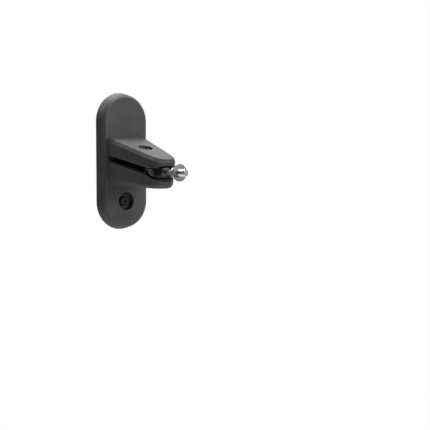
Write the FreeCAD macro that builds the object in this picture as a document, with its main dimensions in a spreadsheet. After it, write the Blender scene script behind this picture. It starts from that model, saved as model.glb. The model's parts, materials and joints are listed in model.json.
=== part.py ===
import FreeCAD, Part
import math
import os
import re
import Sketcher

# Speaker wall bracket: a hooked wall casting with a forked clamp arm and a ball-mounted stud.
# X runs across the bracket, Y towards the wall and Z up, in millimetres.
# The origin is the centre of the face that lies on the wall. "Forward" means away from the wall.

SIZES = {
    # wall casting
    "plate_height": 130.0,          # stadium outline, end to end
    "plate_width": 54.0,            # at the wall
    "plate_depth": 10.0,            # wall to front face
    "rim_inset": 2.0,               # how far the drafted side wall leans in
    "bevel_inset": 2.4,             # bevel round the front face, sideways
    "bevel_depth": 2.5,             # and in depth
    "face_edge_radius": 0.7,
    "shell_wall": 2.8,
    "rib_thickness": 1.8,
    "rib_offset": 11.0,             # from the middle to each long rib
    "rib_top": 22.0,                # cross rib above the arm
    "rib_base": 24.5,               # cross rib below it
    # forked arm, forward of the front face
    "arm_root_width": 43.6,
    "arm_taper": 8.5,               # degrees, each side in plan
    "tip_setback": 1.5,             # the tip's round is this far behind the ball's middle
    "arm_top": 22.7,                # above the origin, at the front face
    "arm_top_slope": 16.1,          # degrees, downwards
    "arm_base": 21.7,               # below the origin, at the front face
    "arm_base_slope": 2.0,
    "top_bevel_drop": 3.2,          # bevel along the arm's upper edges, down the wall
    "top_bevel_inset": 1.8,         # and in from it
    "arm_base_radius": 7.5,         # at the front face
    "arm_base_tip_radius": 4.9,
    "slot_top": 6.0,                # upper face of the slot, at the front face
    "slot_top_slope": 12.0,
    "slot_base": 1.4,               # lower face of the slot
    "slot_base_slope": 13.45,
    "slot_root_radius": 5.0,
    "slot_edge_radius": 2.4,        # along the upper jaw
    "slot_floor_radius": 3.0,       # along the lower jaw
    "flare_radius": 8.0,            # plan radius that runs the lower jaw into the plate's bevel
    "flare_start": 3.36,            # how far forward of the face it begins
    "flare_sweep": 35.0,            # degrees
    # heel tenon of the clamp jaw
    "tenon_width": 26.0,
    "tenon_height": 7.0,
    "tenon_middle": 14.8,           # above the origin
    "tenon_length": 4.6,
    "tenon_gap": 0.2,
    # coring of the lower jaw and its web
    "core_width": 17.0,
    "core_top": -4.0,
    "core_base": -17.5,
    "core_reach": 12.0,             # forward of the front face
    "core_draft": 3.0,              # degrees
    "core_web": 2.4,
    # ball joint
    "ball_diameter": 23.0,
    "ball_forward": 55.9,           # forward of the front face
    "ball_lift": 0.15,              # above the middle of the slot
    "mouth_pan": 30.0,              # how far the mouth lets the stud swing to each side, degrees
    "mouth_tilt": 13.0,             # and up or down
    "mouth_gap": 0.35,              # clearance round the neck there
    "cup_thickness": 1.8,
    "cup_edge": 6.3,                # from the ball's middle to the cup's open edge
    "cup_crown": 12.4,              # from the ball's middle to the cup's flat crown
    "ball_gap": 0.1,
    "cup_gap": 0.15,
    # stud
    "neck_diameter": 4.5,
    "stud_root_diameter": 7.0,      # head moulded into the ball
    "stud_root_length": 4.0,
    "collar_reach": 19.2,           # from the ball's middle to the collar's back
    "collar_length": 2.4,
    "collar_diameter": 8.0,
    "stud_diameter": 6.35,
    "stud_reach": 38.5,             # from the ball's middle to the stud's end
    "stud_chamfer": 0.7,
    "groove_width": 0.6,            # thread run-out just in front of the disc
    "groove_diameter": 4.9,
    "disc_reach": 29.8,             # from the ball's middle to the disc's front
    "disc_thickness": 1.6,
    "disc_diameter": 15.6,
    "disc_edge_radius": 0.4,
    "disc_hub_diameter": 10.4,
    "disc_hub_length": 1.4,
    "running_gap": 0.05,
    # clamp screw through the two jaws
    "clamp_forward": 32.4,
    "clamp_bore": 14.3,
    "clamp_bore_depth": 9.0,
    "clamp_screw_diameter": 6.0,
    "clamp_screw_length": 25.0,
    "clamp_head_diameter": 10.0,
    "clamp_head_height": 6.0,
    "clamp_hole_gap": 0.3,
    "clamp_key": 5.0,               # across the flats of the key socket
    "clamp_key_depth": 3.0,
    "clamp_washer_diameter": 12.0,
    "clamp_washer_thickness": 1.6,
    "clamp_nut_across": 10.0,
    "clamp_nut_thickness": 5.0,
    "clamp_nut_seat": 27.6,         # below the top of the bore, along the screw
    "nut_pocket_gap": 0.1,
    # lock screw low on the casting
    "lock_height": 27.3,            # above the plate's lower end
    "lock_recess": 17.2,
    "lock_floor": 1.6,
    "lock_cup_wall": 1.8,
    "lock_screw_diameter": 5.0,
    "lock_head_diameter": 9.5,
    "lock_head_height": 2.75,
    "lock_head_edge": 5.6,
    "lock_key": 3.0,
    "lock_key_depth": 1.6,
    "lock_washer_diameter": 15.0,
    "lock_washer_thickness": 1.2,
    "plate_nut_diameter": 7.4,
    "plate_nut_flange": 9.6,
    "plate_nut_flange_thickness": 0.7,
    "plate_nut_reach": 3.2,
    "plate_nut_gap": 0.3,
    # stamped wall plate
    "wall_plate_thickness": 1.5,
    "wall_plate_gap": 1.2,
    "seat_gap": 0.3,
    "screw_spacing": 50.0,
    "screw_row_middle": 9.0,        # middle of the two wall screws, above the origin
    "screw_hole": 5.2,
    "tongue_width": 16.0,
    "tongue_drop": 11.0,            # its top edge, below the plate's upper end
    "tongue_length": 9.5,
    "tongue_gap": 1.0,
    "hook_thickness": 1.6,
    "hook_width": 14.0,
    "hook_drop": 4.6,
    "hook_ledge": 2.2,
    "overrun": 1.0,                 # how far a cutter or a buried end runs past a face
}

NEAR = 0.01                         # how close two lengths count as the same

doc = FreeCAD.newDocument("speaker_wall_bracket")
sheet = doc.addObject("Spreadsheet::Sheet", "sizes")
for row, (alias, number) in enumerate(SIZES.items(), start=1):
    sheet.set("A%d" % row, alias)
    sheet.set("B%d" % row, repr(number))
    sheet.setAlias("B%d" % row, alias)
doc.recompute()


def rule(text):
    # A formula over the sheet: every word that names a size gets the sheet's name in front.
    return re.sub("[a-z_]+", lambda word: "sizes." + word[0] if word[0] in SIZES else word[0], text)


def measure(text):
    return float(sheet.evalExpression(rule(text)))


def bind(thing, path, text):
    thing.setExpression(path, rule(text))


# Lengths that several pieces share
HALF_STRAIGHT = "(plate_height - plate_width) / 2"
SHOULDER = "(plate_width / 2 - rim_inset)"
FACE_HALF = "(plate_width / 2 - rim_inset - bevel_inset)"
CAVITY_DEPTH = "(plate_depth - shell_wall)"
SEAT = "(wall_plate_thickness + seat_gap)"
BALL_Y = "-(plate_depth + ball_forward)"
SLOT_FALL = "ball_forward * (tan(slot_top_slope) + tan(slot_base_slope)) / 2"
BALL_Z = "(slot_top + slot_base) / 2 - " + SLOT_FALL + " + ball_lift"
ARM_LEAN = "tan((slot_top_slope + slot_base_slope) / 2)"
BALL = "(ball_diameter / 2)"
CUP_INSIDE = "(ball_diameter / 2 + ball_gap)"
CUP_OUTSIDE = "(ball_diameter / 2 + ball_gap + cup_thickness)"
SOCKET = "(ball_diameter / 2 + ball_gap + cup_thickness + cup_gap)"
SOCKET_HALF = "(cup_crown + cup_gap)"
CLAMP_Y = "-(plate_depth + clamp_forward)"
CLAMP_Z = "arm_top - clamp_forward * tan(arm_top_slope)"
CLAMP_TILT = "(slot_top_slope + slot_base_slope) / 2"
CLAMP_HEAD = "(clamp_washer_thickness - clamp_bore_depth)"
LOCK_Z = "(lock_height - plate_height / 2)"
TONGUE_TOP = "(plate_height / 2 - tongue_drop)"
TONGUE_ROOT = "(plate_height / 2 - tongue_drop - tongue_length)"
LOCK_SEAT = "(wall_plate_thickness + seat_gap + lock_floor)"
LOCK_HEAD = "(wall_plate_thickness + seat_gap + lock_floor + lock_washer_thickness)"


def new_body(label):
    body = doc.addObject("PartDesign::Body", label)
    body.Label = label
    return body


def new_sketch(body, name, plane, offset=None):
    # offset is measured along the plane's own normal
    sketch = body.newObject("Sketcher::SketchObject", name)
    origin_plane = [one for one in body.Origin.OriginFeatures if one.Role == plane][0]
    sketch.AttachmentSupport = [(origin_plane, "")]
    sketch.MapMode = "FlatFace"
    if offset:
        bind(sketch, "AttachmentOffset.Base.z", offset)
    return sketch


def pin_point(sketch, edge, end, place):
    for kind, text in (("DistanceX", place[0]), ("DistanceY", place[1])):
        index = sketch.addConstraint(Sketcher.Constraint(kind, -1, 1, edge, end, measure(text)))
        bind(sketch, "Constraints[%d]" % index, text)


def arc_through(start, end, radius, turn):
    # Minor arc between two points; turn is 1 for anticlockwise and -1 for clockwise.
    chord = end - start
    half = chord.Length / 2
    rise = max(radius * radius - half * half, 0.0) ** 0.5
    side = FreeCAD.Vector(-chord.y, chord.x, 0).normalize() * turn
    centre = (start + end) * 0.5 + side * rise
    middle = centre - side * radius
    return Part.Arc(start, middle, end)


def draw_outline(sketch, corners):
    # Closed outline. A corner is (x, y); one that is reached by an arc is (x, y, radius, turn).
    spots = [FreeCAD.Vector(measure(one[0]), measure(one[1]), 0) for one in corners]
    count = len(corners)
    for index in range(count):
        after = (index + 1) % count
        arrival = corners[after]
        if len(arrival) == 4:
            curve = arc_through(spots[index], spots[after], measure(arrival[2]), arrival[3])
        else:
            curve = Part.LineSegment(spots[index], spots[after])
        sketch.addGeometry(curve, False)
    backwards = []
    for index, corner in enumerate(corners):
        arrival = corners[(index + 1) % count]
        backwards.append(len(arrival) == 4 and arrival[3] < 0)
    for index in range(count):
        after = (index + 1) % count
        leave = 1 if backwards[index] else 2
        enter = 2 if backwards[after] else 1
        sketch.addConstraint(Sketcher.Constraint("Coincident", index, leave, after, enter))
    for index, corner in enumerate(corners):
        pin_point(sketch, index, 2 if backwards[index] else 1, corner)
        arrival = corners[(index + 1) % count]
        if len(arrival) == 4:
            row = sketch.addConstraint(Sketcher.Constraint("Radius", index, measure(arrival[2])))
            bind(sketch, "Constraints[%d]" % row, arrival[2])


def draw_stadium(sketch, half_width):
    radius = measure(half_width)
    straight = measure(HALF_STRAIGHT)
    up = FreeCAD.Vector(0, straight, 0)
    across = FreeCAD.Vector(radius, 0, 0)
    crown = FreeCAD.Vector(0, radius, 0)
    sketch.addGeometry(Part.Arc(up + across, up + crown, up - across), False)
    sketch.addGeometry(Part.LineSegment(up - across, -up - across), False)
    sketch.addGeometry(Part.Arc(-up - across, -up - crown, -up + across), False)
    sketch.addGeometry(Part.LineSegment(-up + across, up + across), False)
    for first, second in ((0, 1), (1, 2), (2, 3), (3, 0)):
        sketch.addConstraint(Sketcher.Constraint("Tangent", first, 2, second, 1))
    sketch.addConstraint(Sketcher.Constraint("PointOnObject", 0, 3, -2))
    sketch.addConstraint(Sketcher.Constraint("PointOnObject", 2, 3, -2))
    sketch.addConstraint(Sketcher.Constraint("Equal", 0, 2))
    row = sketch.addConstraint(Sketcher.Constraint("DistanceY", -1, 1, 0, 3, straight))
    bind(sketch, "Constraints[%d]" % row, HALF_STRAIGHT)
    row = sketch.addConstraint(Sketcher.Constraint("DistanceY", 2, 3, -1, 1, straight))
    bind(sketch, "Constraints[%d]" % row, HALF_STRAIGHT)
    row = sketch.addConstraint(Sketcher.Constraint("Radius", 0, radius))
    bind(sketch, "Constraints[%d]" % row, half_width)


def draw_circle(sketch, x, y, radius):
    place = FreeCAD.Vector(measure(x), measure(y), 0)
    edge = sketch.addGeometry(Part.Circle(place, FreeCAD.Vector(0, 0, 1), measure(radius)), False)
    pin_point(sketch, edge, 3, (x, y))
    row = sketch.addConstraint(Sketcher.Constraint("Radius", edge, measure(radius)))
    bind(sketch, "Constraints[%d]" % row, radius)


def draw_rectangle(sketch, left, right, base, top):
    draw_outline(sketch, [(left, base), (right, base), (right, top), (left, top)])


def draw_hexagon(sketch, across):
    # Regular hexagon about the middle, across its flats.
    half = "(" + across + ") / 2"
    corner = half + " / cos(30)"
    short = corner + " / 2"
    draw_outline(sketch, [
        (corner, "0"), (short, half), ("-" + short, half),
        ("-" + corner, "0"), ("-" + short, "-" + half), (short, "-" + half)])


def pad(body, sketch, length, reverse=False, both=False, draft=None):
    feature = body.newObject("PartDesign::Pad", sketch.Name + "_pad")
    feature.Profile = sketch
    feature.Reversed = reverse
    if both:
        feature.SideType = "Symmetric"
    bind(feature, "Length", length)
    if draft:
        bind(feature, "TaperAngle", draft)
    body.Tip = feature
    doc.recompute()
    return feature


def pocket(body, sketch, length, reverse=False):
    # The volume has to go down, or the cut went the wrong way
    before = body.Shape.Volume
    feature = body.newObject("PartDesign::Pocket", sketch.Name + "_pocket")
    feature.Profile = sketch
    feature.Reversed = reverse
    bind(feature, "Length", length)
    body.Tip = feature
    doc.recompute()
    if body.Shape.Volume > before - NEAR:
        raise RuntimeError("nothing was cut by " + feature.Name)
    return feature


def revolve(body, sketch):
    feature = body.newObject("PartDesign::Revolution", sketch.Name + "_turned")
    feature.Profile = sketch
    feature.ReferenceAxis = (sketch, ["V_Axis"])
    feature.Angle = 360
    body.Tip = feature
    doc.recompute()
    return feature


def turned_body(label, outline):
    # A piece turned about its own Z axis, from an outline of (radius, height) corners.
    body = new_body(label)
    sketch = new_sketch(body, label + "_outline", "XZ_Plane")
    draw_outline(sketch, outline)
    revolve(body, sketch)
    return body


def place(thing, x=None, y=None, z=None, turn=None):
    # turn is a rotation about X, in degrees
    thing.Placement = FreeCAD.Placement(FreeCAD.Vector(), FreeCAD.Rotation(FreeCAD.Vector(1, 0, 0), 1))
    bind(thing, "Placement.Rotation.Angle", turn or "0")
    for letter, text in (("x", x), ("y", y), ("z", z)):
        if text:
            bind(thing, "Placement.Base." + letter, text)


def join(label, pieces):
    feature = doc.addObject("Part::MultiFuse", label)
    feature.Shapes = pieces
    doc.recompute()
    return feature


def cut(label, base, tool):
    feature = doc.addObject("Part::Cut", label)
    feature.Base = base
    feature.Tool = tool
    feature.Label = label
    doc.recompute()
    return feature


def overlap(label, first, second):
    feature = doc.addObject("Part::MultiCommon", label)
    feature.Shapes = [first, second]
    doc.recompute()
    return feature


def round_edges(label, base, edges):
    # edges is a list of (edge number, radius at its start, radius at its end)
    feature = doc.addObject("Part::Fillet", label)
    feature.Base = base
    feature.Edges = edges
    doc.recompute()
    return feature


def bevel_edges(label, base, numbers, on_first, on_second, is_first):
    # A bevel as wide as on_first on the faces that is_first picks, and as on_second on the others.
    # The feature takes the width on the lower numbered of an edge's two faces first.
    rows = []
    for number in numbers:
        edge = base.Shape.Edges[number - 1]
        lower = next(face for face in base.Shape.Faces if any(edge.isSame(side) for side in face.Edges))
        widths = (on_first, on_second) if is_first(lower) else (on_second, on_first)
        rows.append((number, measure(widths[0]), measure(widths[1])))
    feature = doc.addObject("Part::Chamfer", label)
    feature.Base = base
    feature.Edges = rows
    doc.recompute()
    return feature


def block(label, width, front, back, base, top, middle="0"):
    # A plain box across the middle of X
    box = doc.addObject("Part::Box", label)
    bind(box, "Length", width)
    bind(box, "Width", "(" + back + ") - (" + front + ")")
    bind(box, "Height", "(" + top + ") - (" + base + ")")
    bind(box, "Placement.Base.x", "(" + middle + ") - (" + width + ") / 2")
    bind(box, "Placement.Base.y", front)
    bind(box, "Placement.Base.z", base)
    doc.recompute()
    return box


def stadium_rings(body, rings):
    # rings holds (name, half width, distance from the wall)
    sketches = []
    for name, half_width, depth in rings:
        sketch = new_sketch(body, name, "XZ_Plane", depth)
        draw_stadium(sketch, half_width)
        sketches.append(sketch)
    return sketches


def ruled_loft(body, label, sketches):
    # Straight-sided solid through the sketches
    doc.recompute()
    loft = body.newObject("PartDesign::AdditiveLoft", label)
    loft.Profile = sketches[0]
    loft.Sections = sketches[1:]
    loft.Ruled = True
    body.Tip = loft
    doc.recompute()
    return loft


def forward(text):
    # Y of a place that lies so far forward of the front face
    return "-(plate_depth + " + text + ")"


def tip_at(level):
    # Middle of the round tip, forward of the front face. The nose stands square to the slot,
    # so it leans forward as it rises.
    return "(ball_forward - tip_setback + ((" + level + ") - (" + BALL_Z + ")) * " + ARM_LEAN + ")"


def tip_radius_at(level):
    # The tip's arc runs smoothly into both side walls
    return "((arm_root_width / 2 - " + tip_at(level) + " * tan(arm_taper)) * cos(arm_taper))"


def plan_outline(level, back, flared):
    # The arm's outline at one height, tapering to a round tip; back is how far it starts
    # behind the front face. A flared one spreads again where it meets the plate.
    behind = "-(plate_depth - (" + back + "))"
    radius = tip_radius_at(level)
    touch_x = radius + " * cos(arm_taper)"
    touch_y = forward(tip_at(level) + " + " + radius + " * sin(arm_taper)")
    if flared:
        leave = "(arm_root_width / 2 - flare_start * tan(arm_taper))"
        out = "(" + leave + " + flare_radius * (cos(arm_taper) - cos(arm_taper + flare_sweep)))"
        down = "flare_start - flare_radius * (sin(arm_taper + flare_sweep) - sin(arm_taper))"
        return [
            (out, behind), ("-" + out, behind), ("-" + out, forward(down)),
            ("-" + leave, forward("flare_start"), "flare_radius", -1), ("-" + touch_x, touch_y),
            (touch_x, touch_y, radius, 1), (leave, forward("flare_start")),
            (out, forward(down), "flare_radius", -1)]
    start = "(arm_root_width / 2 + (" + back + ") * tan(arm_taper))"
    return [
        (start, behind), ("-" + start, behind), ("-" + touch_x, touch_y),
        (touch_x, touch_y, radius, 1)]


def plan_blank(label, back, flared=False):
    body = new_body(label)
    sketches = []
    for name, level in (("_low_plan", "-plate_height / 2"), ("_high_plan", "plate_height / 2")):
        sketch = new_sketch(body, label + name, "XY_Plane", level)
        draw_outline(sketch, plan_outline(level, back, flared))
        sketches.append(sketch)
    ruled_loft(body, label + "_loft", sketches)
    return body


def height_on(level, slope, where):
    # Height of a face that starts at a level on the front face and falls as it goes forward
    return level + " - (" + where + ") * tan(" + slope + ")"


ARM_END = "(ball_forward + ball_diameter)"


def jaw_prism(label, corners):
    body = new_body(label)
    sketch = new_sketch(body, label + "_side", "YZ_Plane")
    draw_outline(sketch, corners)
    pad(body, sketch, "2 * plate_width", both=True)
    return body


def edge_numbers(shape, test):
    return [number for number, edge in enumerate(shape.Edges, start=1) if test(edge)]


def middle_of(edge):
    return edge.valueAt((edge.FirstParameter + edge.LastParameter) / 2)


def tapered_round(shape, numbers, root_radius, tip_radius):
    # A rounding that shrinks from the front face to where the tip's arc starts.
    # Each end of an edge gets the radius that belongs to its place.
    face = measure("-plate_depth")
    reach = measure("ball_forward - tip_setback")

    def radius_at(point):
        share = min(max((face - point.y) / reach, 0.0), 1.0)
        return root_radius + (tip_radius - root_radius) * share

    rows = []
    for number in numbers:
        edge = shape.Edges[number - 1]
        first = edge.valueAt(edge.FirstParameter)
        last = edge.valueAt(edge.LastParameter)
        rows.append((number, radius_at(first), radius_at(last)))
    return rows


def even_round(numbers, size):
    return [(number, measure(size), measure(size)) for number in numbers]


def on_wall(edge):
    # True for an edge that runs along the arm's side walls, their flare or round the tip
    half = measure("arm_root_width / 2")
    slope = measure("tan(arm_taper)")
    face = measure("-plate_depth")
    start = measure("flare_start")
    bend = measure("flare_radius")
    taper = math.radians(measure("arm_taper"))
    point = middle_of(edge)
    reach = face - point.y
    centre = measure(tip_at(repr(point.z)))
    radius = measure(tip_radius_at(repr(point.z)))
    side = abs(abs(point.x) - (half - reach * slope)) < NEAR
    tip = abs((point.x ** 2 + (reach - centre) ** 2) ** 0.5 - radius) < NEAR
    bend_x = half - start * slope + bend * math.cos(taper)
    bend_reach = start + bend * math.sin(taper)
    gap = ((abs(point.x) - bend_x) ** 2 + (reach - bend_reach) ** 2) ** 0.5 - bend
    return side or tip or abs(gap) < NEAR


def make_lower_jaw():
    root = "slot_root_radius"
    root_middle = ("slot_base - " + root + " * tan(slot_base_slope) + "
                   + root + " / cos(slot_base_slope)")
    foot_y = forward(root + " - " + root + " * sin(slot_base_slope)")
    foot_z = root_middle + " - " + root + " * cos(slot_base_slope)"
    crest = root_middle + " + overrun"
    prism = jaw_prism("lower_jaw_prism", [
        ("-(plate_depth - bevel_depth)", height_on("-arm_base", "arm_base_slope", "-bevel_depth")),
        ("-(plate_depth - bevel_depth)", crest),
        ("-plate_depth", crest),
        ("-plate_depth", root_middle),
        (foot_y, foot_z, root, -1),
        (forward(ARM_END), height_on("slot_base", "slot_base_slope", ARM_END)),
        (forward(ARM_END), height_on("-arm_base", "arm_base_slope", ARM_END))])
    plan = plan_blank("lower_jaw_plan", "bevel_depth", flared=True)
    blank = overlap("lower_jaw_blank", prism, plan)
    face = measure("-plate_depth")

    def at_base(edge):
        point = middle_of(edge)
        level = measure("-arm_base") - (face - point.y) * measure("tan(arm_base_slope)")
        return on_wall(edge) and abs(point.z - level) < NEAR

    def at_slot(edge):
        # from the front face down the slot's round root, along its floor and round the tip
        def clears_floor(point):
            floor = measure("slot_base") - (face - point.y) * measure("tan(slot_base_slope)")
            return point.z > floor - NEAR and point.y < face + NEAR
        return on_wall(edge) and all(clears_floor(corner.Point) for corner in edge.Vertexes)

    shape = blank.Shape
    based = round_edges("lower_jaw_base_round", blank, tapered_round(
        shape, edge_numbers(shape, at_base), measure("arm_base_radius"), measure("arm_base_tip_radius")))
    shape = based.Shape
    return round_edges("lower_jaw", based, even_round(edge_numbers(shape, at_slot), "slot_floor_radius"))


def make_upper_jaw():
    prism = jaw_prism("upper_jaw_prism", [
        ("-plate_depth", "slot_top"),
        ("-plate_depth", "arm_top"),
        (forward(ARM_END), height_on("arm_top", "arm_top_slope", ARM_END)),
        (forward(ARM_END), height_on("slot_top", "slot_top_slope", ARM_END))])
    plan = plan_blank("upper_jaw_plan", "0")
    blank = overlap("upper_jaw_blank", prism, plan)
    face = measure("-plate_depth")

    def at_top(edge):
        point = middle_of(edge)
        level = measure("arm_top") - (face - point.y) * measure("tan(arm_top_slope)")
        return on_wall(edge) and abs(point.z - level) < NEAR

    def at_slot(edge):
        point = middle_of(edge)
        level = measure("slot_top") - (face - point.y) * measure("tan(slot_top_slope)")
        return on_wall(edge) and abs(point.z - level) < NEAR

    def is_top(side):
        # the sloping top is flat and looks up
        return side.Surface.TypeId == "Part::GeomPlane" and side.normalAt(0, 0).z > NEAR

    bevelled = bevel_edges("upper_jaw_bevel", blank, edge_numbers(blank.Shape, at_top),
                           "top_bevel_inset", "top_bevel_drop", is_top)
    rounded = round_edges("upper_jaw_round", bevelled,
                          even_round(edge_numbers(bevelled.Shape, at_slot), "slot_edge_radius"))
    return join("upper_jaw", [rounded, block(
        "heel_tenon", "tenon_width", "-(plate_depth + overrun)", "-(plate_depth - tenon_length)",
        "tenon_middle - tenon_height / 2", "tenon_middle + tenon_height / 2")])


def make_plate_blank():
    body = new_body("plate_blank")
    loft = ruled_loft(body, "rim_loft", stadium_rings(body, [
        ("wall_ring", "plate_width / 2", "0"),
        ("shoulder_ring", SHOULDER, "plate_depth - bevel_depth"),
        ("face_ring", FACE_HALF, "plate_depth")]))
    face = measure("-plate_depth")
    names = ["Edge%d" % number for number, edge in enumerate(loft.Shape.Edges, start=1)
             if abs(middle_of(edge).y - face) < NEAR]
    soften = body.newObject("PartDesign::Fillet", "face_edge")
    soften.Base = (loft, names)
    bind(soften, "Radius", "face_edge_radius")
    body.Tip = soften
    doc.recompute()
    return body


def make_cavity():
    # The hollow behind the front wall, less the ribs, the lock screw's cup and the hook
    body = new_body("cavity_blank")
    lean = "rim_inset * " + CAVITY_DEPTH + " / (plate_depth - bevel_depth)"
    ruled_loft(body, "cavity_loft", stadium_rings(body, [
        ("mouth_ring", "plate_width / 2 - shell_wall", "0"),
        ("floor_ring", "plate_width / 2 - shell_wall - " + lean, CAVITY_DEPTH)]))
    kept = []
    deep = "-plate_depth"
    shallow = "-" + SEAT
    half = "rib_thickness / 2"
    for name, level in (("cross_rib_upper", "rib_top"), ("cross_rib_lower", "-rib_base")):
        low, high = level + " - " + half, level + " + " + half
        kept.append(block(name, "plate_width", deep, shallow, low, high))
    for name, side in (("long_rib_right", "rib_offset"), ("long_rib_left", "-rib_offset")):
        kept.append(block(name, "rib_thickness", deep, shallow, "rib_top", "plate_height / 2", side))
    cup = doc.addObject("Part::Cylinder", "lock_cup")
    bind(cup, "Radius", "lock_recess / 2 + lock_cup_wall")
    bind(cup, "Height", "plate_depth - " + SEAT)
    place(cup, y="-" + SEAT, z=LOCK_Z, turn="90")
    kept.append(cup)
    ledge = TONGUE_TOP + " + seat_gap"
    kept.append(block("hook_ledge", "hook_width", deep, shallow, ledge, ledge + " + hook_ledge"))
    kept.append(block("hook_lip", "hook_width", "-(" + SEAT + " + hook_thickness)", shallow,
                      ledge + " - hook_drop", ledge + " + hook_ledge"))
    doc.recompute()
    return cut("cavity", body, join("cavity_islands", kept))


def make_core(label, left, right):
    # A drafted pocket that lightens the lower jaw from behind
    body = new_body(label)
    sketch = new_sketch(body, label + "_mouth", "XZ_Plane", CAVITY_DEPTH)
    draw_rectangle(sketch, left, right, "core_base", "core_top")
    pad(body, sketch, "shell_wall + core_reach", draft="-core_draft")
    return body


def at_ball(body, turn=None):
    place(body, y=BALL_Y, z=BALL_Z, turn=turn)
    return body


def make_socket():
    # The ball's seat in both jaws: a sphere with flat crowns
    flat = "sqrt(" + SOCKET + " ^ 2 - " + SOCKET_HALF + " ^ 2)"
    return at_ball(turned_body("socket", [
        ("0", "-" + SOCKET_HALF), (flat, "-" + SOCKET_HALF),
        (flat, SOCKET_HALF, SOCKET, 1), ("0", SOCKET_HALF)]))


def make_mouth():
    # Rounded window through the nose, just wide enough for the neck at both ends of its swing
    exit_reach = "sqrt(" + SOCKET + " ^ 2 - (neck_diameter / 2) ^ 2)"
    corner = "(neck_diameter / 2 + mouth_gap)"
    rise = "(" + exit_reach + " * sin(mouth_tilt))"
    swing = "(" + exit_reach + " * cos(mouth_tilt) * sin(mouth_pan))"
    wide, tall = "(" + swing + " + " + corner + ")", "(" + rise + " + " + corner + ")"
    body = new_body("mouth_cutter")
    sketch = new_sketch(body, "mouth_outline", "XZ_Plane")
    draw_outline(sketch, [
        (wide, "-" + rise, corner, 1), (wide, rise), (swing, tall, corner, 1), ("-" + swing, tall),
        ("-" + wide, rise, corner, 1), ("-" + wide, "-" + rise),
        ("-" + swing, "-" + tall, corner, 1), (swing, "-" + tall)])
    pad(body, sketch, "ball_diameter")
    return at_ball(body)


def at_clamp(body):
    place(body, y=CLAMP_Y, z=CLAMP_Z, turn=CLAMP_TILT)
    return body


def make_clamp_cutters():
    hole = "clamp_screw_diameter / 2 + clamp_hole_gap"
    low = "-(clamp_nut_seat + overrun)"
    high = "clamp_bore_depth"
    bore = at_clamp(turned_body("clamp_bore_cutter", [
        ("0", low), (hole, low), (hole, "-clamp_bore_depth"), ("clamp_bore / 2", "-clamp_bore_depth"),
        ("clamp_bore / 2", high), ("0", high)]))
    body = new_body("nut_pocket_cutter")
    sketch = new_sketch(body, "nut_pocket_outline", "XY_Plane", "-clamp_nut_seat")
    draw_hexagon(sketch, "clamp_nut_across + 2 * nut_pocket_gap")
    pad(body, sketch, "clamp_nut_seat", reverse=True)
    return [bore, at_clamp(body)]


def make_lock_cutter():
    hole = "plate_nut_diameter / 2 + plate_nut_gap"
    wide = "lock_recess / 2"
    top = "2 * plate_depth"
    body = turned_body("lock_cutter", [
        ("0", "0"), (hole, "0"), (hole, LOCK_SEAT), (wide, LOCK_SEAT), (wide, top), ("0", top)])
    place(body, z=LOCK_Z, turn="90")
    return body


def make_bracket_body(jaw_cutters):
    whole = join("casting_blank", [make_plate_blank(), make_lower_jaw()])
    mortise_half = "(tenon_height / 2 + tenon_gap)"
    mortise = block("mortise", "tenon_width + 2 * tenon_gap", "-(plate_depth + overrun)", "-overrun",
                    "tenon_middle - " + mortise_half, "tenon_middle + " + mortise_half)
    web = "core_web / 2"
    cores = [make_core("core_right", web, web + " + core_width"),
             make_core("core_left", "-(" + web + " + core_width)", "-" + web)]
    tools = [make_cavity(), mortise, make_lock_cutter()] + cores + jaw_cutters
    return cut("bracket_body", whole, join("casting_cutters", tools))


def make_clamp_jaw(jaw_cutters):
    return cut("clamp_jaw", make_upper_jaw(), join("jaw_tools", jaw_cutters))


def make_wall_plate():
    body = new_body("wall_plate")
    sketch = new_sketch(body, "wall_plate_outline", "XZ_Plane")
    draw_stadium(sketch, "plate_width / 2 - shell_wall - wall_plate_gap")
    pad(body, sketch, "wall_plate_thickness")
    holes = new_sketch(body, "wall_screw_holes", "XZ_Plane")
    for level in ("screw_row_middle + screw_spacing / 2", "screw_row_middle - screw_spacing / 2"):
        draw_circle(holes, "0", level, "screw_hole / 2")
    draw_circle(holes, "0", LOCK_Z, "plate_nut_diameter / 2")
    pocket(body, holes, "2 * wall_plate_thickness", reverse=True)
    sink = new_sketch(body, "nut_flange_seat", "XZ_Plane")
    draw_circle(sink, "0", LOCK_Z, "plate_nut_flange / 2")
    pocket(body, sink, "plate_nut_flange_thickness", reverse=True)
    window = new_sketch(body, "tongue_window", "XZ_Plane")
    side = "tongue_width / 2 + tongue_gap"
    draw_rectangle(window, "-(" + side + ")", side, TONGUE_ROOT, TONGUE_TOP + " + tongue_gap")
    pocket(body, window, "2 * wall_plate_thickness", reverse=True)
    # the tongue is lanced out of the window and steps forward by the hook's thickness
    tongue = new_sketch(body, "tongue_side", "YZ_Plane")
    step = "(" + SEAT + " + hook_thickness + seat_gap)"
    thick = "wall_plate_thickness"
    ease = thick + " * tan(22.5)"
    front = "-(" + step + " + " + thick + ")"
    back_bend = TONGUE_ROOT + " + " + step
    draw_outline(tongue, [
        ("0", TONGUE_ROOT + " - " + thick), ("0", TONGUE_ROOT), ("-" + step, back_bend),
        ("-" + step, TONGUE_TOP), (front, TONGUE_TOP), (front, back_bend + " - " + ease),
        ("-" + thick, TONGUE_ROOT + " - " + ease), ("-" + thick, TONGUE_ROOT + " - " + thick)])
    pad(body, tongue, "tongue_width", both=True)
    return body


def make_plate_nut():
    inside = "lock_screw_diameter / 2 + running_gap"
    body = turned_body("plate_nut", [
        (inside, "0"), ("plate_nut_flange / 2", "0"),
        ("plate_nut_flange / 2", "plate_nut_flange_thickness"),
        ("plate_nut_diameter / 2", "plate_nut_flange_thickness"),
        ("plate_nut_diameter / 2", "plate_nut_reach"), (inside, "plate_nut_reach")])
    place(body, z=LOCK_Z, turn="90")
    return body


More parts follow.
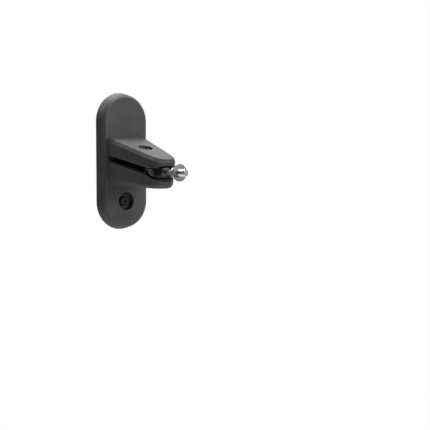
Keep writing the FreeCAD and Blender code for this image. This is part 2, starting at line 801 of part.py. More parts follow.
def make_washer(label, outside, inside, low, high):
    return turned_body(label, [
        (inside, low), (outside, low), (outside, high), (inside, high)])


def make_screw(label, diameter, tip, seat, head_diameter, head_top, key, key_depth, crown=None):
    # Head, shank with a small lead-in, and a hexagon key socket sunk in the head
    head = head_diameter + " / 2"
    shank = diameter + " / 2"
    lead = "stud_chamfer"
    corners = [
        ("0", tip), (shank + " - " + lead, tip), (shank, tip + " + " + lead), (shank, seat),
        (head, seat)]
    if crown:
        # button head: a short wall, then a dome
        corners += [(head, seat + " + stud_chamfer / 2"), (crown, head_top)]
    else:
        corners += [(head, head_top + " - stud_chamfer / 2"), (head + " - stud_chamfer / 2", head_top)]
    body = turned_body(label, corners + [("0", head_top)])
    socket = new_sketch(body, label + "_key", "XY_Plane", head_top)
    draw_hexagon(socket, key)
    pocket(body, socket, key_depth)
    return body


def make_clamp_hardware():
    seat = CLAMP_HEAD
    screw = at_clamp(make_screw(
        "clamp_screw", "clamp_screw_diameter", seat + " - clamp_screw_length", seat,
        "clamp_head_diameter", seat + " + clamp_head_height", "clamp_key", "clamp_key_depth"))
    washer = at_clamp(make_washer(
        "clamp_washer", "clamp_washer_diameter / 2", "clamp_screw_diameter / 2 + clamp_hole_gap",
        "-clamp_bore_depth", seat))
    nut = new_body("clamp_nut")
    sketch = new_sketch(nut, "clamp_nut_outline", "XY_Plane", "-clamp_nut_seat")
    draw_hexagon(sketch, "clamp_nut_across")
    draw_circle(sketch, "0", "0", "clamp_screw_diameter / 2 + running_gap")
    pad(nut, sketch, "clamp_nut_thickness", reverse=True)
    return [screw, washer, at_clamp(nut)]


def make_lock_hardware():
    washer = make_washer(
        "lock_washer", "lock_washer_diameter / 2", "lock_screw_diameter / 2 + clamp_hole_gap",
        LOCK_SEAT, LOCK_HEAD)
    place(washer, z=LOCK_Z, turn="90")
    screw = make_screw(
        "lock_screw", "lock_screw_diameter", "plate_nut_flange_thickness", LOCK_HEAD,
        "lock_head_diameter", LOCK_HEAD + " + lock_head_height", "lock_key", "lock_key_depth",
        crown="lock_head_edge / 2")
    place(screw, z=LOCK_Z, turn="90")
    return [screw, washer]


def make_cup(label, turn):
    # Domed liner between ball and jaw, open towards the ball's middle
    edge_in = "sqrt(" + CUP_INSIDE + " ^ 2 - cup_edge ^ 2)"
    edge_out = "sqrt(" + CUP_OUTSIDE + " ^ 2 - cup_edge ^ 2)"
    crown = "sqrt(" + CUP_OUTSIDE + " ^ 2 - cup_crown ^ 2)"
    return at_ball(turned_body(label, [
        (edge_out, "cup_edge"), (crown, "cup_crown", CUP_OUTSIDE, 1), ("0", "cup_crown"),
        ("0", CUP_INSIDE), (edge_in, "cup_edge", CUP_INSIDE, -1)]), turn)


def make_ball():
    # The ball is moulded round the stud's head; its own Z runs out along the stud
    mouth = "neck_diameter / 2 + running_gap"
    hollow = "stud_root_diameter / 2 + running_gap"
    reach = "(stud_root_length / 2 + running_gap)"
    rim = "sqrt(" + BALL + " ^ 2 - (" + mouth + ") ^ 2)"
    return at_ball(turned_body("ball", [
        ("0", "-" + BALL), (mouth, rim, BALL, 1), (mouth, reach), (hollow, reach),
        (hollow, "-" + reach), ("0", "-" + reach)]), "90")


def make_stud():
    root = "stud_root_length / 2"
    neck = "neck_diameter / 2"
    collar = "collar_diameter / 2"
    thread = "stud_diameter / 2"
    start = "collar_reach"
    finish = "(collar_reach + collar_length)"
    tip = "stud_reach"
    bevel = "stud_chamfer / 2"
    groove = "groove_diameter / 2"
    groove_start = "(disc_reach + running_gap)"
    groove_end = "(disc_reach + running_gap + groove_width)"
    return at_ball(turned_body("stud", [
        ("0", "-" + root), ("stud_root_diameter / 2", "-" + root), ("stud_root_diameter / 2", root),
        (neck, root), (neck, start), (collar + " - " + bevel, start), (collar, start + " + " + bevel),
        (collar, finish + " - " + bevel), (collar + " - " + bevel, finish), (thread, finish),
        (thread, groove_start), (groove, groove_start), (groove, groove_end), (thread, groove_end),
        (thread, tip + " - stud_chamfer"), (thread + " - stud_chamfer", tip), ("0", tip)]), "90")


def make_lock_disc():
    inside = "stud_diameter / 2 + running_gap"
    front = "disc_reach"
    back = front + " - disc_thickness"
    rim = "disc_diameter / 2"
    edge = "disc_edge_radius"
    return at_ball(turned_body("lock_disc", [
        (inside, back + " - disc_hub_length"), ("disc_hub_diameter / 2", back + " - disc_hub_length"),
        ("disc_hub_diameter / 2", back), (rim + " - " + edge, back), (rim, back + " + " + edge),
        (rim, front + " - " + edge), (rim + " - " + edge, front), (inside, front)]), "90")


def build():
    jaw_cutters = [make_socket(), make_mouth()] + make_clamp_cutters()
    pieces = [make_bracket_body(jaw_cutters), make_clamp_jaw(jaw_cutters)]
    pieces += [make_wall_plate(), make_plate_nut()]
    pieces += make_lock_hardware()
    pieces += make_clamp_hardware()
    pieces += [make_cup("upper_cup", "0"), make_cup("lower_cup", "180")]
    pieces += [make_ball(), make_stud(), make_lock_disc()]
    doc.recompute()
    return pieces


def check_and_write(pieces):
    for thing in doc.Objects:
        if "Invalid" in thing.State or "Error" in thing.State:
            raise RuntimeError(thing.Label + " did not compute")
    for piece in pieces:
        if piece.Shape.isNull() or not piece.Shape.isValid():
            raise RuntimeError(piece.Label + " has no sound shape")
    os.makedirs("parts", exist_ok=True)
    for piece in pieces:
        piece.Shape.exportStep("parts/" + piece.Label + ".step")
        box = piece.Shape.BoundBox
        print("%-14s solids %d  volume %9.1f  x %7.2f %7.2f  y %8.2f %7.2f  z %7.2f %7.2f" % (
            piece.Label, len(piece.Shape.Solids), piece.Shape.Volume,
            box.XMin, box.XMax, box.YMin, box.YMax, box.ZMin, box.ZMax))


check_and_write(build())
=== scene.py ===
import json
import math
import bpy
import numpy as np
from mathutils import Matrix, Vector


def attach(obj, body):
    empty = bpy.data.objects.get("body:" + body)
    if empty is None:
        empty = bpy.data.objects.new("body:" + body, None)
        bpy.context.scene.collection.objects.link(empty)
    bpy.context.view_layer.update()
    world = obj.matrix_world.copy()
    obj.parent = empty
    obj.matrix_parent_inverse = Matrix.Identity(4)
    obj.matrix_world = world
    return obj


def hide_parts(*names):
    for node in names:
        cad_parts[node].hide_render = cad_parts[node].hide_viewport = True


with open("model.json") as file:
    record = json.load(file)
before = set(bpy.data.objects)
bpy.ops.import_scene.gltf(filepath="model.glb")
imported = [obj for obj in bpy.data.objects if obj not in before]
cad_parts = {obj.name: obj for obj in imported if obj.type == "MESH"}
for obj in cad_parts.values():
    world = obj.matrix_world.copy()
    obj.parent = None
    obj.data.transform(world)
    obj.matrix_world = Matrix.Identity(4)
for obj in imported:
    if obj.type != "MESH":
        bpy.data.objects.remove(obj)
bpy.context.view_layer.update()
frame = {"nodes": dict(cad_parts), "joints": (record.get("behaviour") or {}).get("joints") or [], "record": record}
print("frame loaded:", len(frame["nodes"]), "solids")

mm = 0.001  # sizes are in metres, and small ones are written as so many mm

jointOf = {joint["name"]: joint for joint in frame["joints"]}
mountOf = {mount["name"]: mount for mount in frame["record"]["mounts"]}
ballCentre = Vector(jointOf["pan"]["pos_m"])


# shader helpers

class Field:  # a socket that can stand in a sum
    def __init__(self, sheet, socket):
        self.sheet = sheet
        self.socket = socket

    def maths(self, operation, first, second):
        return self.sheet.add("ShaderNodeMath", {"operation": operation}, {0: first, 1: second})

    def __add__(self, other):
        return self.maths("ADD", self, other)

    def __radd__(self, other):
        return self.maths("ADD", other, self)

    def __sub__(self, other):
        return self.maths("SUBTRACT", self, other)

    def __rsub__(self, other):
        return self.maths("SUBTRACT", other, self)

    def __mul__(self, other):
        return self.maths("MULTIPLY", self, other)

    def __rmul__(self, other):
        return self.maths("MULTIPLY", other, self)

    def __truediv__(self, other):
        return self.maths("DIVIDE", self, other)

    def __pow__(self, other):
        return self.maths("POWER", self, other)

    def fade(self, low, high):  # 0 below low, 1 above high, straight between
        return self.sheet.add("ShaderNodeMapRange", {"clamp": True},
                              {"Value": self, "From Min": low, "From Max": high})


class Nodes:  # one node tree, of a material or of the world
    def __init__(self, tree, shaderType):
        self.tree = tree
        self.shader = next(n for n in tree.nodes if n.type == shaderType)

    def add(self, kind, settings=None, sockets=None, output=0):
        node = self.tree.nodes.new(kind)
        for key, value in (settings or {}).items():
            setattr(node, key, value)
        for key, value in (sockets or {}).items():
            self.plug(node.inputs[key], value)
        return Field(self, node.outputs[output])

    def plug(self, target, value):
        if isinstance(value, Field):
            self.tree.links.new(value.socket, target)
        else:
            target.default_value = value

    def feed(self, **varying):
        for socket, field in varying.items():
            self.plug(self.shader.inputs[socket.replace("_", " ")], field)

    def others(self, field, outputs):  # more outputs of the node that the field comes from
        return [Field(self, field.socket.node.outputs[one]) for one in outputs]


edgeSetting = {"samples": 6, "turn": (0.01, 0.22)}  # turn is one less the cosine, from none to all


class Finish(Nodes):  # one material
    def __init__(self, name, **fixed):
        self.material = bpy.data.materials.new(name)
        self.material.use_nodes = True
        super().__init__(self.material.node_tree, "BSDF_PRINCIPLED")
        self.place = self.add("ShaderNodeTexCoord", output="Object")
        self.feed(**fixed)

    def noise(self, size, detail=2.0, roughness=0.5, where=None):
        return self.add("ShaderNodeTexNoise", {}, {
            "Vector": where or self.place, "Scale": 1.0 / size, "Detail": detail, "Roughness": roughness})

    def blend(self, share, first, second):
        return self.add("ShaderNodeMix", {"data_type": "RGBA"}, {0: share, 6: first, 7: second}, output=2)

    def axes(self, where=None):
        return self.others(self.add("ShaderNodeSeparateXYZ", {}, {0: where or self.place}), (0, 1, 2))

    def moved(self, centre, stretch=(1, 1, 1)):  # places measured from the centre, and stretched
        return self.add("ShaderNodeMapping", {"vector_type": "TEXTURE"}, {
            "Vector": self.place, "Location": centre, "Scale": stretch})

    def bump(self, height, depth, normal=None):
        sockets = {"Height": height, "Distance": depth, "Strength": 1.0}
        if normal:
            sockets["Normal"] = normal
        return self.add("ShaderNodeBump", {}, sockets)

    def softEdge(self, radius):  # the normal as if every edge were rounded, and where it is
        rounded = self.add("ShaderNodeBevel", {"samples": edgeSetting["samples"]}, {"Radius": radius})
        plain = self.add("ShaderNodeNewGeometry", output="Normal")
        alike = self.add("ShaderNodeVectorMath", {"operation": "DOT_PRODUCT"},
                         {0: rounded, 1: plain}, output="Value")
        return rounded, (1.0 - alike).fade(*edgeSetting["turn"])


def grey(level, warm=0.0):
    return (level * (1 + warm), level, level * (1 - warm), 1)


# finishes

castingLook = {
    "coat": grey(0.042, -0.03), "coatPale": grey(0.054, -0.03), "worn": grey(0.085), "wornShare": 0.55,
    "grain": 0.45 * mm, "peel": 1.6 * mm, "mottle": 14 * mm, "rub": 2.5 * mm,
    "grainDepth": 0.035 * mm, "peelDepth": 0.03 * mm, "edge": 0.45 * mm,
    "mottleFade": (0.3, 0.7), "rubFade": (0.35, 0.75),
    "roughness": 0.5, "grainRough": 0.12, "mottleRough": 0.06, "wornGloss": 0.1, "specular": 0.1}


def castingFinish():  # black powder coat with a fine grain, thin on the edges
    look = castingLook
    coat = Finish("castingBlack", Specular_IOR_Level=look["specular"])
    grain = coat.noise(look["grain"], detail=3.0, roughness=0.6)
    peel = coat.noise(look["peel"], detail=1.0)
    mottle = coat.noise(look["mottle"], detail=3.0)
    rub = coat.noise(look["rub"], detail=4.0, roughness=0.7)
    rounded, edge = coat.softEdge(look["edge"])
    wear = edge * rub.fade(*look["rubFade"])
    tone = coat.blend(mottle.fade(*look["mottleFade"]), look["coat"], look["coatPale"])
    tone = coat.blend(wear * look["wornShare"], tone, look["worn"])
    uneven = look["grainRough"] * (grain - 0.5) + look["mottleRough"] * (mottle - 0.5)
    coat.feed(
        Base_Color=tone,
        Roughness=look["roughness"] + uneven - look["wornGloss"] * wear,
        Normal=coat.bump(peel, look["peelDepth"], coat.bump(grain, look["grainDepth"], rounded)))
    return coat.material


ballLook = {
    "black": grey(0.008), "haze": grey(0.014), "hazeShare": 0.6, "roughness": 0.22, "hazeDull": 0.2,
    "fine": 0.8 * mm, "fineDull": 0.05, "swirl": 5 * mm, "flatten": 0.12, "swirlDepth": 0.01 * mm,
    "gripHeight": 11.5 * mm, "gripFade": (0.2, 0.45), "rubFade": (0.5, 0.8), "specular": 0.3}


def ballFinish():  # polished black, with rubbed rings where the cups have gripped it
    look = ballLook
    polish = Finish("ballBlack", Specular_IOR_Level=look["specular"])
    height = polish.axes(polish.moved(ballCentre))[2]
    flattened = polish.moved(ballCentre, (1, 1, look["flatten"]))
    rub = polish.noise(look["swirl"], detail=5.0, roughness=0.7, where=flattened)
    gripped = (height * height / look["gripHeight"] ** 2).fade(*look["gripFade"])
    haze = rub.fade(*look["rubFade"]) * gripped
    fine = polish.noise(look["fine"])
    polish.feed(
        Base_Color=polish.blend(haze * look["hazeShare"], look["black"], look["haze"]),
        Roughness=look["roughness"] + look["hazeDull"] * haze + look["fineDull"] * fine,
        Normal=polish.bump(rub, look["swirlDepth"]))
    return polish.material


cupLook = {
    "black": grey(0.007), "cloudy": grey(0.012), "grain": 0.35 * mm, "grainDepth": 0.02 * mm,
    "cloud": 6 * mm, "cloudFade": (0.35, 0.7), "edge": 0.2 * mm, "roughness": 0.5,
    "grainDull": 0.15, "specular": 0.15}


def cupFinish():  # dull moulded plastic with a spark-eroded grain
    look = cupLook
    plastic = Finish("cupBlack", Specular_IOR_Level=look["specular"])
    grain = plastic.noise(look["grain"])
    cloud = plastic.noise(look["cloud"])
    rounded = plastic.softEdge(look["edge"])[0]
    plastic.feed(
        Base_Color=plastic.blend(cloud.fade(*look["cloudFade"]), look["black"], look["cloudy"]),
        Roughness=look["roughness"] + look["grainDull"] * grain,
        Normal=plastic.bump(grain, look["grainDepth"], rounded))
    return plastic.material


studLook = {
    "bright": grey(0.5), "stained": grey(0.37, 0.01), "ringSize": 0.12 * mm, "along": True,
    "dullShadeBound": 22 * mm, "dullRoughness": 0.4, "roughness": 0.2}
# the disc's outer rim is a painted shade: darker, standing for the shading of its edge
discLook = {
    "bright": grey(0.22), "stained": grey(0.17), "ringSize": 0.2 * mm, "along": False,
    "dullShadeBound": 6.6 * mm, "dullRoughness": 0.05, "roughness": 0.3}
turningLook = {
    # the dull tone is painted: shade on the disc's rim, and a darker neck and collar on the stud that dims their
    # highlights
    "dullAndShaded": grey(0.1), "paintedShadeShare": 0.55, "dullShadeFade": 0.5 * mm, "edge": 0.15 * mm,
    "stain": 3 * mm, "stainFade": (0.3, 0.75), "ringDetail": 3.0,
    "ringRough": 0.1, "stainRough": 0.1, "edgeGloss": 0.05, "ringDepth": 0.006 * mm}


def turnedSteel(name, look):
    # turned and plated steel: fine rings round the stud's axis, spaced along it or outwards.
    # Along it, the steel is rougher and painted darker up to the bound, which dims the neck's and collar's
    # highlights; outwards, the disc's rim is so from there on, a painted shade of its edge.
    turning = turningLook
    steel = Finish(name, Metallic=1.0)
    x, y, z = steel.axes(steel.moved(ballCentre))
    outward = (x * x + z * z) ** 0.5
    lathe = steel.add("ShaderNodeTexNoise", {"noise_dimensions": "1D"},
                      {"W": y if look["along"] else outward, "Scale": 1 / look["ringSize"],
                       "Detail": turning["ringDetail"]})
    stain = steel.noise(turning["stain"], detail=3.0)
    rounded, edge = steel.softEdge(turning["edge"])
    reach = -1 * y if look["along"] else outward
    past = reach.fade(look["dullShadeBound"], look["dullShadeBound"] + turning["dullShadeFade"])
    dullAndShaded = 1 - past if look["along"] else past
    tone = steel.blend(stain.fade(*turning["stainFade"]), look["bright"], look["stained"])
    # painted shade: the disc's rim and the stud's neck and collar are blended towards the darker dull tone
    tone = steel.blend(dullAndShaded * turning["paintedShadeShare"], tone, turning["dullAndShaded"])
    rough = turning["ringRough"] * lathe + turning["stainRough"] * (stain - 0.5)
    steel.feed(
        Base_Color=tone,
        Roughness=look["roughness"] + look["dullRoughness"] * dullAndShaded + rough - turning["edgeGloss"] * edge,
        Normal=steel.bump(lathe, turning["ringDepth"], rounded))
    return steel.material


plateLook = {
    "pale": grey(0.67, 0.005), "deep": grey(0.58, 0.015), "spangle": 3.2 * mm, "spangleShare": 0.5,
    "rolled": 0.5 * mm, "rolledLength": 30, "rolledShare": 0.2, "rolledDepth": 0.008 * mm,
    "edge": 0.3 * mm, "roughness": 0.36, "spangleRough": 0.08, "rolledRough": 0.08}


def plateFinish():  # zinc plating on pressed sheet: spangled, with rolling marks up and down
    look = plateLook
    zinc = Finish("platedPlate", Metallic=1.0)
    cells = zinc.add("ShaderNodeTexVoronoi", {"feature": "F1"},
                     {"Vector": zinc.place, "Scale": 1 / look["spangle"], "Randomness": 1.0}, output="Color")
    spangle = zinc.axes(cells)[0]
    lengthened = zinc.moved((0, 0, 0), (1, 1, look["rolledLength"]))
    rolled = zinc.noise(look["rolled"], where=lengthened)
    share = spangle * look["spangleShare"] + look["rolledShare"] * rolled
    zinc.feed(
        Base_Color=zinc.blend(share, look["deep"], look["pale"]),
        Roughness=look["roughness"] + look["spangleRough"] * spangle + look["rolledRough"] * rolled,
        Normal=zinc.bump(rolled, look["rolledDepth"], zinc.softEdge(look["edge"])[0]))
    return zinc.material


nutLook = {"pale": grey(0.7, 0.02), "deep": grey(0.5, 0.04), "roughness": 0.3, "metallic": 1.0}
washerLook = {"pale": grey(0.035), "deep": grey(0.02), "roughness": 0.5, "metallic": 0.2}
screwLook = {"pale": grey(0.014), "deep": grey(0.009), "roughness": 0.55, "metallic": 0.05}
hardwareLook = {
    "cloud": 1.6 * mm, "cloudFade": (0.3, 0.7), "cloudShare": 0.7, "cloudRough": 0.15,
    "edgeShare": 0.3, "edgeGloss": 0.08,
    "cloudDepth": 0.006 * mm, "edge": 0.18 * mm, "specular": 0.15}


def hardwareFinish(name, look):
    # small plated or blacked fasteners, a little cloudy and rubbed on the edges
    rubbed = hardwareLook
    metal = Finish(name, Metallic=look["metallic"], Specular_IOR_Level=rubbed["specular"])
    cloud = metal.noise(rubbed["cloud"], detail=4.0, roughness=0.6)
    rounded, edge = metal.softEdge(rubbed["edge"])
    share = cloud.fade(*rubbed["cloudFade"]) * rubbed["cloudShare"] + rubbed["edgeShare"] * edge
    metal.feed(
        Base_Color=metal.blend(share, look["deep"], look["pale"]),
        Roughness=look["roughness"] + rubbed["cloudRough"] * (cloud - 0.5) - rubbed["edgeGloss"] * edge,
        Normal=metal.bump(cloud, rubbed["cloudDepth"], rounded))
    return metal.material


finishes = {
    "casting_black": castingFinish(),
    "ball_black": ballFinish(),
    "cup_black": cupFinish(),
    "stud_steel": turnedSteel("studSteel", studLook),
    "disc_steel": turnedSteel("discSteel", discLook),
    "plated_plate": plateFinish(),
    "plated_nut": hardwareFinish("platedNut", nutLook),
    "washer_black": hardwareFinish("washerBlack", washerLook),
    "screw_black": hardwareFinish("screwBlack", screwLook)}

slotOf = {part["node"]: part["material_slot"] for part in frame["record"]["subparts"]}
for name, node in frame["nodes"].items():
    for slot in node.material_slots:
        slot.material = finishes[slotOf[name]]
print("finishes on the solids:", len(finishes))


# turned and threaded pieces

def frameAlong(direction):
    # Every axis of the bracket is square to X, so side is X itself and up is along x side
    along = Vector(direction).normalized()
    side = Vector((1, 0, 0))
    return side, along.cross(side), along


def sweptSurface(name, stations, angles, centre, direction, closed, body, slot, smoothAngle=32):
    # stations is a list of (radius, height); each is one number or one for every angle.
    # A point is centre + radius (cos angle * side + sin angle * up) + height * direction.
    # The ends close to a point on the axis, or to each other when closed.
    side, up, along = (np.array(one) for one in frameAlong(direction))
    count = len(angles)
    radius = np.array([np.broadcast_to(one[0], count) for one in stations], float)
    height = np.array([np.broadcast_to(one[1], count) for one in stations], float)
    ring = np.cos(angles)[:, None] * side + np.sin(angles)[:, None] * up
    points = np.array(centre) + radius[..., None] * ring + height[..., None] * along
    points = points.reshape(-1, 3)
    rows = len(stations)
    here = np.arange(rows if closed else rows - 1)
    i, j = np.meshgrid(here, np.arange(count), indexing="ij")
    nextRow = (i + 1) % rows
    nextColumn = (j + 1) % count
    quads = np.stack([i * count + j, i * count + nextColumn,
                      nextRow * count + nextColumn, nextRow * count + j], -1).reshape(-1, 4)
    faces = quads.tolist()
    if not closed:
        low, high = len(points), len(points) + 1
        ends = [np.array(centre) + height[k].mean() * along for k in (0, -1)]
        points = np.vstack([points, ends])
        column = np.arange(count)
        after = (column + 1) % count
        last = (rows - 1) * count
        faces += np.stack([np.full(count, low), after, column], -1).tolist()
        faces += np.stack([np.full(count, high), last + column, last + after], -1).tolist()
    mesh = bpy.data.meshes.new(name)
    mesh.from_pydata(points.tolist(), [], faces)
    mesh.shade_smooth()
    mesh.set_sharp_from_angle(angle=math.radians(smoothAngle))
    piece = bpy.data.objects.new(name, mesh)
    bpy.context.scene.collection.objects.link(piece)
    mesh.materials.append(finishes[slot])
    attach(piece, body)
    return piece


def evenAngles(count):
    return np.linspace(0, 2 * math.pi, count, endpoint=False)


def hexagonRadius(angles, across):
    # half the width across flats, over the cosine of the angle from the nearest flat's middle
    sector = math.pi / 3
    return across / 2 / np.cos((angles + sector / 2) % sector - sector / 2)


# shares of the pitch: the root's flat, both flanks together, and the fading at the high end
threadForm = {"rootFlat": 0.2, "flanks": 0.66, "runIn": 0.35}


def threadStations(low, high, crest, pitch, depth, angles, perTurn=14, runOut=1.2):
    # A right-handed thread. The groove's depth follows the phase height/pitch - angle/turn: flat
    # on the crest and in the root and straight between, fading out near both ends.
    stations = []
    for height in np.linspace(low, high, int((high - low) / pitch * perTurn) + 2):
        phase = (height / pitch - angles / (2 * math.pi)) % 1.0
        rise = np.clip((np.abs(2 * phase - 1) - threadForm["rootFlat"]) / threadForm["flanks"], 0, 1)
        fading = min((height - low) / (runOut * pitch), (high - height) / (threadForm["runIn"] * pitch), 1.0)
        stations.append((crest - depth * (1 - rise) * max(fading, 0.0), height))
    return stations


studForm = {  # heights are from the ball's middle
    "rootRadius": 3.5 * mm, "rootHalf": 2 * mm, "neck": 2.25 * mm, "fillet": 0.5 * mm,
    "collarStart": 19.2 * mm, "collarEnd": 21.6 * mm, "collar": 4.0 * mm, "bevel": 0.6 * mm,
    "underCrest": 0.12 * mm, "plainEnd": 23.4 * mm, "threadLead": 0.3 * mm, "end": 38.5 * mm,
    "chamfer": 0.7 * mm, "pitch": 1.27 * mm, "depth": 0.72 * mm, "angles": 96,
    "filletSteps": 5, "collarSteps": 11,
    "rootRing": 0.6, "endRing": 0.4}  # where a flat end has its inner ring, as a share of its radius


def makeStud():
    form = studForm
    crest = mountOf["speaker_stud"]["dims"]["r_mm"] * mm
    angles = evenAngles(form["angles"])
    neck, collar, bevel, fillet = form["neck"], form["collar"], form["bevel"], form["fillet"]
    root, half = form["rootRadius"], form["rootHalf"]
    stations = [(form["rootRing"] * root, -half), (root, -half), (root, half), (neck, half)]
    # a quarter of a circle leads from the neck to the collar
    stations += [(neck + fillet * (1 - math.cos(t)), form["collarStart"] - fillet * (1 - math.sin(t)))
                 for t in np.linspace(0, math.pi / 2, form["filletSteps"])]
    # the collar's rim is a barrel: its radius falls with the square of the way from its middle
    stations += [(collar - bevel * (2 * t - 1) ** 2, form["collarStart"]
                  + t * (form["collarEnd"] - form["collarStart"]))
                 for t in np.linspace(0, 1, form["collarSteps"])]
    plain = crest - form["underCrest"]
    stations += [(plain, form["collarEnd"]), (plain, form["plainEnd"] - form["threadLead"])]
    stations += threadStations(form["plainEnd"], form["end"] - form["chamfer"], crest, form["pitch"],
                               form["depth"], angles)
    stations += [(crest - form["chamfer"], form["end"]), (form["endRing"] * crest, form["end"])]
    piece = sweptSurface("threadedStud", stations, angles, ballCentre, jointOf["roll"]["axis"], False,
                         "stud", "stud_steel")
    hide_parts("stud")


keyForm = {"chamfer": 0.15 * mm, "coneShare": 0.3, "coneDepth": 0.35 * mm}


def keyedHead(top, keyDepth, across, angles, rim):
    # from the rim of the top face into the hexagon socket, whose floor is a shallow cone
    hexagon = hexagonRadius(angles, across)
    mouth = np.full(len(angles), rim)
    chamfer, bottom = keyForm["chamfer"], top - keyDepth
    return [(mouth, top), (hexagon + chamfer, top), (hexagon, top - chamfer),
            (hexagon, bottom), (keyForm["coneShare"] * hexagon, bottom - keyForm["coneDepth"])]


clampForm = {  # the head's two heights and the tip's are from the joint's point, up the screw
    "headLow": -7.4 * mm, "headHigh": -1.4 * mm, "head": 5 * mm, "key": 5 * mm, "keyDepth": 3 * mm,
    "knurls": 36, "perKnurl": 6, "knurlDepth": 0.16 * mm, "knurlLow": 0.65 * mm, "knurlHigh": 1.1 * mm,
    "knurlLead": 0.15 * mm, "knurlGain": 1.4, "knurlCut": 0.2,
    "foot": 0.15 * mm, "footInset": 0.1 * mm, "edge": 0.35 * mm, "edgeEase": 0.3,
    "shank": 3 * mm, "shankTop": 0.2 * mm, "tip": -32.4 * mm, "tipChamfer": 0.7 * mm,
    "pitch": 1.0 * mm, "depth": 0.6 * mm, "shankAngles": 60, "footRing": 0.8, "tipRing": 0.4}


def makeClampScrew():
    form = clampForm
    joint = jointOf["clamp_screw_turn"]
    centre, direction = joint["pos_m"], joint["axis"]
    low, high, edge, lead = form["headLow"], form["headHigh"], form["edge"], form["knurlLead"]
    eased = form["edgeEase"] * edge
    knurlLow, knurlHigh = low + form["knurlLow"], high - form["knurlHigh"]
    angles = evenAngles(form["knurls"] * form["perKnurl"])
    # each knurl is a triangle wave round the head, with its top and bottom clipped flat
    wave = np.abs((angles * form["knurls"] / (2 * math.pi)) % 1.0 * 2 - 1)
    groove = np.clip(wave * form["knurlGain"] - form["knurlCut"], 0, 1)
    knurled = form["head"] - form["knurlDepth"] * groove
    smooth = form["head"] - form["knurlDepth"]
    stations = [(form["footRing"] * form["shank"], low), (smooth - form["footInset"], low),
                (smooth, low + form["foot"]), (smooth, knurlLow - lead), (knurled, knurlLow),
                (knurled, knurlHigh), (smooth, knurlHigh + lead), (smooth, high - edge),
                (smooth - eased, high - eased)]
    stations += keyedHead(high, form["keyDepth"], form["key"], angles, smooth - edge)
    head = sweptSurface("clampScrewHead", stations, angles, centre, direction, False,
                        "clamp_screw", "screw_black")
    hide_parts("clamp_screw")
    angles = evenAngles(form["shankAngles"])
    tip, shank, chamfer = form["tip"], form["shank"], form["tipChamfer"]
    stations = [(form["tipRing"] * shank, tip), (shank - chamfer, tip)]
    stations += threadStations(tip + chamfer, low + form["shankTop"], shank, form["pitch"],
                               form["depth"], angles, perTurn=12, runOut=0.5)
    sweptSurface("clampScrewShank", stations, angles, centre, direction, False,
                 "clamp_screw", "screw_black")


lockForm = {  # the seat's, the top's and the tip's heights are from the wall
    "seat": 4.6 * mm, "top": 7.35 * mm, "head": 4.75 * mm, "crown": 2.8 * mm, "wall": 0.35 * mm,
    "foot": 0.1 * mm, "key": 3 * mm, "keyDepth": 1.6 * mm, "keyRim": 0.3 * mm, "shank": 2.5 * mm,
    "shankTop": 0.4 * mm, "tip": 0.7 * mm, "tipChamfer": 0.5 * mm, "pitch": 0.8 * mm,
    "depth": 0.45 * mm, "angles": 72, "domeSteps": 10, "tipRing": 0.5}


def makeLockScrew():
    form = lockForm
    joint = jointOf["lock_screw_turn"]
    angles = evenAngles(form["angles"])
    tip, shank, chamfer = form["tip"], form["shank"], form["tipChamfer"]
    seat, head, foot, crown = form["seat"], form["head"], form["foot"], form["crown"]
    top, wallTop = form["top"], form["seat"] + form["wall"]
    stations = [(form["tipRing"] * shank, tip), (shank - chamfer, tip)]
    stations += threadStations(tip + chamfer, seat - form["shankTop"], shank, form["pitch"],
                               form["depth"], angles, perTurn=12, runOut=0.5)
    stations += [(shank, seat), (head - foot, seat), (head, seat + foot), (head, wallTop)]
    # the button's dome: a quarter of an ellipse from the wall to the crown
    stations += [(crown + (head - crown) * math.cos(t), wallTop + (top - wallTop) * math.sin(t))
                 for t in np.linspace(0, math.pi / 2, form["domeSteps"])[1:]]
    stations += keyedHead(top, form["keyDepth"], form["key"], angles, crown - form["keyRim"])
    piece = sweptSurface("lockScrew", stations, angles, joint["pos_m"], joint["axis"], False,
                         "lock_screw", "screw_black")
    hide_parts("lock_screw")


nutForm = {  # the seat's height is from the clamp screw's joint, up the screw
    "across": 10 * mm, "seat": -27.6 * mm, "thickness": 5 * mm, "bore": 3.05 * mm,
    "chamferRadius": 5.05 * mm, "chamferHeight": 0.5 * mm, "slope": 0.55, "land": 0.1 * mm,
    "boreChamfer": 0.5 * mm, "boreFlare": 0.4 * mm, "angles": 180, "chamferSteps": 7}


def makeClampNut():
    # The hexagon is cut by a cone at its outer end: each ring takes the smaller of the two radii
    form = nutForm
    joint = jointOf["clamp_screw_turn"]
    angles = evenAngles(form["angles"])
    hexagon = hexagonRadius(angles, form["across"])
    low, high, bore = form["seat"] - form["thickness"], form["seat"], form["bore"]
    stations = [(np.minimum(hexagon, form["chamferRadius"] + rise / form["slope"]), low + rise)
                for rise in np.linspace(0, form["chamferHeight"], form["chamferSteps"])]
    stations += [(hexagon, low + form["chamferHeight"] + form["land"]), (hexagon, high), (bore, high),
                 (bore, low + form["boreChamfer"]), (bore + form["boreFlare"], low)]
    piece = sweptSurface("clampNut", stations, angles, joint["pos_m"], joint["axis"], True,
                         "bracket", "plated_nut")
    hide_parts("clamp_nut")


makeStud()
makeClampScrew()
makeLockScrew()
makeClampNut()
print("turned pieces made")


# floor, lamps and camera

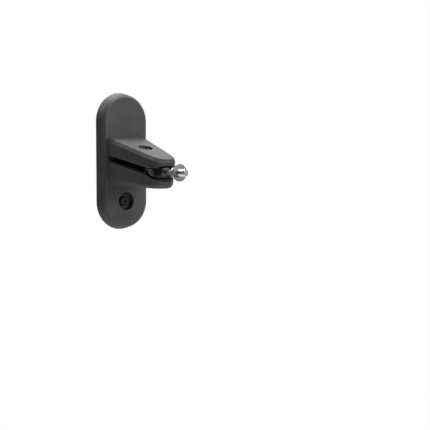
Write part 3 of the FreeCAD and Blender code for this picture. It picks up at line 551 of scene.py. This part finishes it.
setting = {
    "floorDrop": 0.90, "floorSize": 24.0, "floorTones": (grey(0.52), grey(0.57)), "floorCloud": 0.6,
    "worldLevel": 0.02,
    # metal sees the white background on the +Y side: over this stretch of the floor, and of the
    # direction's Y share in the sky, it comes up from none to all
    "floorBehind": (0.0, 1.2), "skyBehind": (0.1, 0.6),
    "lamps": [  # name, place, aim, width, height, watts
        ("overhead", (0.10, 0.25, 1.15), (0.10, -0.05, 0), 0.4, 0.5, 35.4),
        ("overheadFront", (0.08, -0.20, 1.20), (0.08, -0.05, 0), 0.3, 0.9, 6.7),
        ("front", (0.45, -1.10, 0.65), (0, -0.03, 0), 1.3, 1.3, 23.5),
        ("low", (0.0, -1.20, -0.35), (0, -0.03, 0), 0.8, 0.8, 6.2),
        ("behind", (0.85, 0.90, 0.80), (0, -0.05, 0), 1.1, 1.1, 1.9),
        ("rim", (-0.50, 1.00, 0.66), (0, -0.05, 0), 0.5, 0.5, 6.3),
        ("under", (0.0, -0.12, -0.27), (0, -0.05, 0), 0.4, 0.4, 0.31),
        ("backUnder", (-0.15, 0.15, -0.25), (0, -0.05, 0), 0.3, 0.3, 0.17)]}


def seenPlainly(sheet, behind):
    # 1 where the camera looks, and where metal or glass looks behind the object; 0 for light
    straight = sheet.add("ShaderNodeLightPath", output="Is Camera Ray")
    mirrored, through = sheet.others(straight, ("Is Glossy Ray", "Is Transmission Ray"))
    return (straight + (mirrored + through) * behind).fade(0, 1)


def makeFloor():
    half = setting["floorSize"] / 2
    drop = -setting["floorDrop"]
    mesh = bpy.data.meshes.new("floor")
    mesh.from_pydata([(-half, -half, drop), (half, -half, drop), (half, half, drop), (-half, half, drop)],
                     [], [(0, 1, 2, 3)])
    floor = bpy.data.objects.new("floor", mesh)
    bpy.context.scene.collection.objects.link(floor)
    paint = Finish("floorPale", Roughness=1.0, Specular_IOR_Level=0.0)
    paint.feed(Base_Color=paint.blend(paint.noise(setting["floorCloud"]), *setting["floorTones"]))
    behind = paint.axes()[1].fade(*setting["floorBehind"])
    glow = paint.add("ShaderNodeEmission", {}, {"Color": grey(1.0), "Strength": 1.0})
    mixed = paint.add("ShaderNodeMixShader", {}, {
        0: seenPlainly(paint, behind), 1: Field(paint, paint.shader.outputs[0]), 2: glow})
    output = next(n for n in paint.tree.nodes if n.type == "OUTPUT_MATERIAL")
    paint.plug(output.inputs["Surface"], mixed)
    mesh.materials.append(paint.material)


def makeWorld():
    world = bpy.data.worlds.new("studio")
    bpy.context.scene.world = world
    world.use_nodes = True
    sky = Nodes(world.node_tree, "BACKGROUND")
    level = setting["worldLevel"]
    direction = sky.add("ShaderNodeTexCoord", output="Generated")
    behind = sky.add("ShaderNodeSeparateXYZ", {}, {0: direction}, output=1).fade(*setting["skyBehind"])
    sky.feed(Color=grey(1.0), Strength=level + (1.0 - level) * seenPlainly(sky, behind))


def makeLamp(name, place, aim, width, height, watts):
    lamp = bpy.data.lights.new(name, "AREA")
    lamp.shape = "RECTANGLE"
    lamp.size = width
    lamp.size_y = height
    lamp.energy = watts
    holder = bpy.data.objects.new(name, lamp)
    holder.location = place
    holder.visible_camera = False
    holder.rotation_euler = (Vector(aim) - Vector(place)).to_track_quat("-Z", "Y").to_euler()
    bpy.context.scene.collection.objects.link(holder)


cameraSetting = {"azimuth": 38.6, "elevation": 3.93, "lens": 90.92, "sensor": 36.0,
                 "right": 84.61 * mm, "down": 50.90 * mm, "away": 1032.5 * mm, "facePoint": (0, -10 * mm, 0)}


def makeCamera():
    # The camera stands off the middle of the plate's face, along its own three axes
    look = cameraSetting
    a, e = math.radians(look["azimuth"]), math.radians(look["elevation"])
    right = Vector((math.cos(a), -math.sin(a), 0))
    up = Vector((math.sin(a) * math.sin(e), math.cos(a) * math.sin(e), math.cos(e)))
    back = right.cross(up)
    data = bpy.data.cameras.new("camera")
    data.lens = look["lens"]
    data.sensor_width = look["sensor"]
    data.clip_start = 0.01
    camera = bpy.data.objects.new("camera", data)
    place = Vector(look["facePoint"]) + look["right"] * right - look["down"] * up + look["away"] * back
    turn = Matrix((right, up, back)).transposed()
    camera.matrix_world = Matrix.Translation(place) @ turn.to_4x4()
    bpy.context.scene.collection.objects.link(camera)
    bpy.context.scene.camera = camera


makeFloor()
makeWorld()
for lamp in setting["lamps"]:
    makeLamp(*lamp)
makeCamera()
bpy.context.scene.view_settings.view_transform = "Standard"
print("floor, lamps and camera set")
